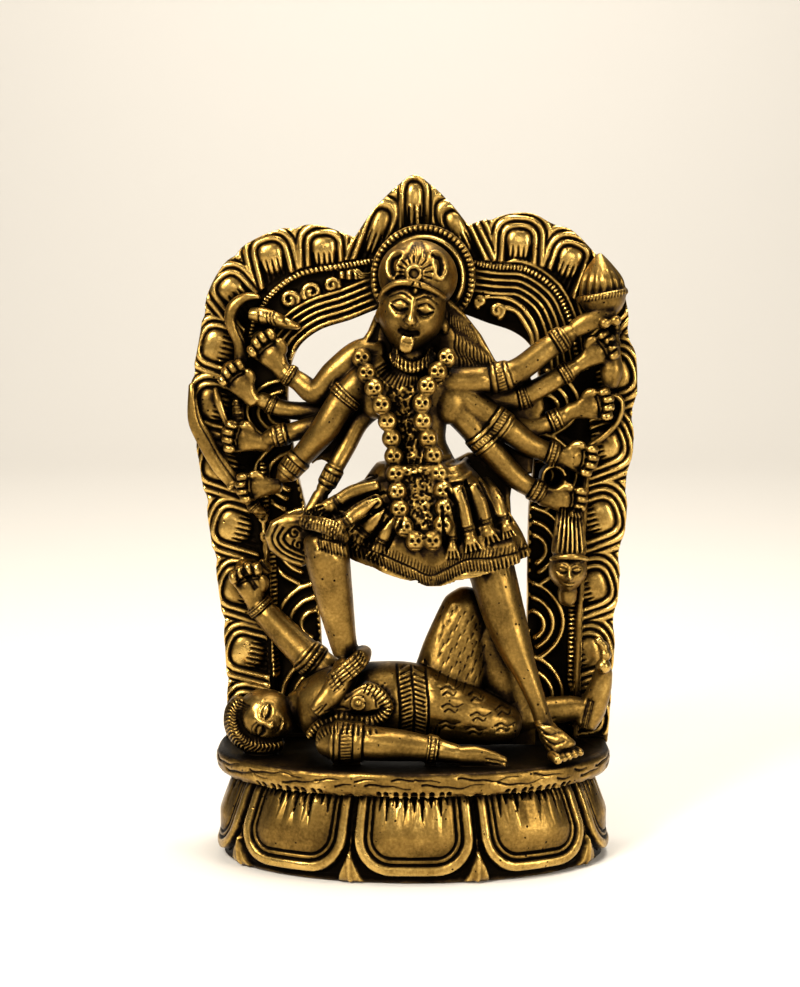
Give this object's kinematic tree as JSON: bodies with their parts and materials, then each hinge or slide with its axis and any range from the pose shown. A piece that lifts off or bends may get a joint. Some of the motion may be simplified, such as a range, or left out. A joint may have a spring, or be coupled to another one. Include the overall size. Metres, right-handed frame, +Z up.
{
  "type": "kali statue",
  "caption": "Cast brass figure of a many-armed goddess standing on a lying god, before a petalled arch, on a lotus base with a flat underside.",
  "frame": {"origin": "middle of the base's width on its flat underside, under the plane where the front and back halves of its plan meet", "axes": "+Z up, front of the figure towards -Y, +X to the right as the viewer sees the figure"},
  "size_m": [0.1697, 0.0755, 0.2548],
  "materials": {
    "antique_brass": "antique brass, rubbed bright on the raised parts, dark brown patina in the recesses"
  },
  "bodies": {
    "root": {"kali_statue": "antique_brass"}
  },
  "joints": []
}
